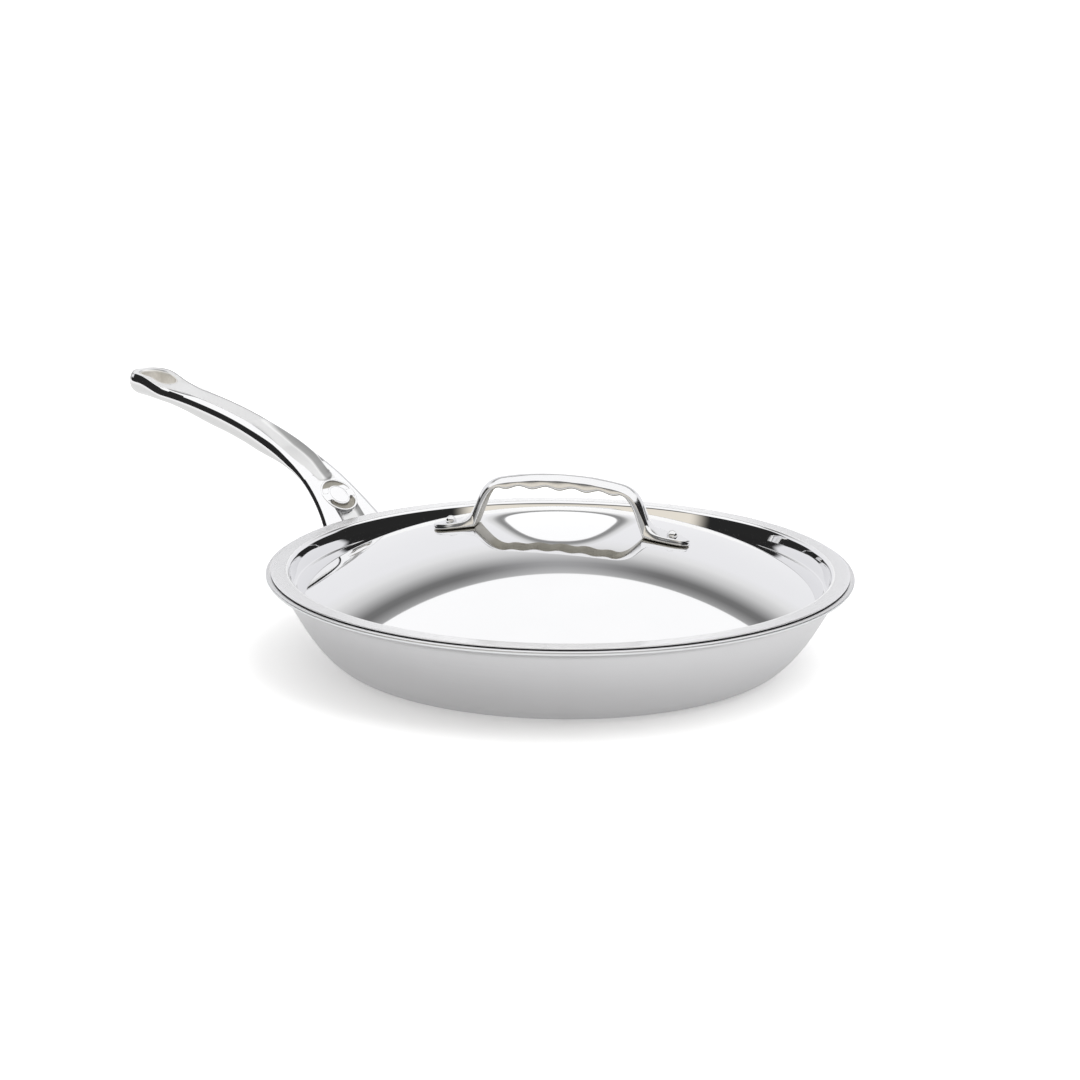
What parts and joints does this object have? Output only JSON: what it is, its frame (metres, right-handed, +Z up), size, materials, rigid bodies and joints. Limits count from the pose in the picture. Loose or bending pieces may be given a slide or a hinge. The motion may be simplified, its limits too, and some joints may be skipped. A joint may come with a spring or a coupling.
{
  "type": "frying pan with lid",
  "caption": "Clad stainless frying pan with flared sides and a riveted long handle with a hanging eye, closed by a drop-in domed lid with a riveted bow handle.",
  "frame": {"origin": "middle of the pan's flat base, on the surface it stands on", "axes": "+Z up, the long handle points to -X"},
  "size_m": [0.4683, 0.29, 0.0963],
  "materials": {
    "pan_outer_steel": "satin, turned round the pan",
    "core_aluminium": "plain cut edge",
    "pan_inner_steel": "satin, turned round the pan",
    "handle_steel": "cast, satin top face and polished edges",
    "rivet_steel": "polished stainless steel",
    "lid_steel": "mirror polished stainless steel",
    "bow_steel": "polished cast stainless steel"
  },
  "bodies": {
    "pan": {"pan_outer_skin": "pan_outer_steel", "pan_core": "core_aluminium", "pan_inner_skin": "pan_inner_steel", "pan_handle": "handle_steel", "pan_rivet_left": "rivet_steel", "pan_rivet_right": "rivet_steel"},
    "lid": {"lid_shell": "lid_steel", "lid_handle": "bow_steel", "lid_rivet_left": "rivet_steel", "lid_rivet_right": "rivet_steel"}
  },
  "joints": [
    {"name": "lid_lift", "type": "slide", "parent": "pan", "child": "lid", "axis": [0, 0, 1], "range_m": [0, 0.12]}
  ]
}
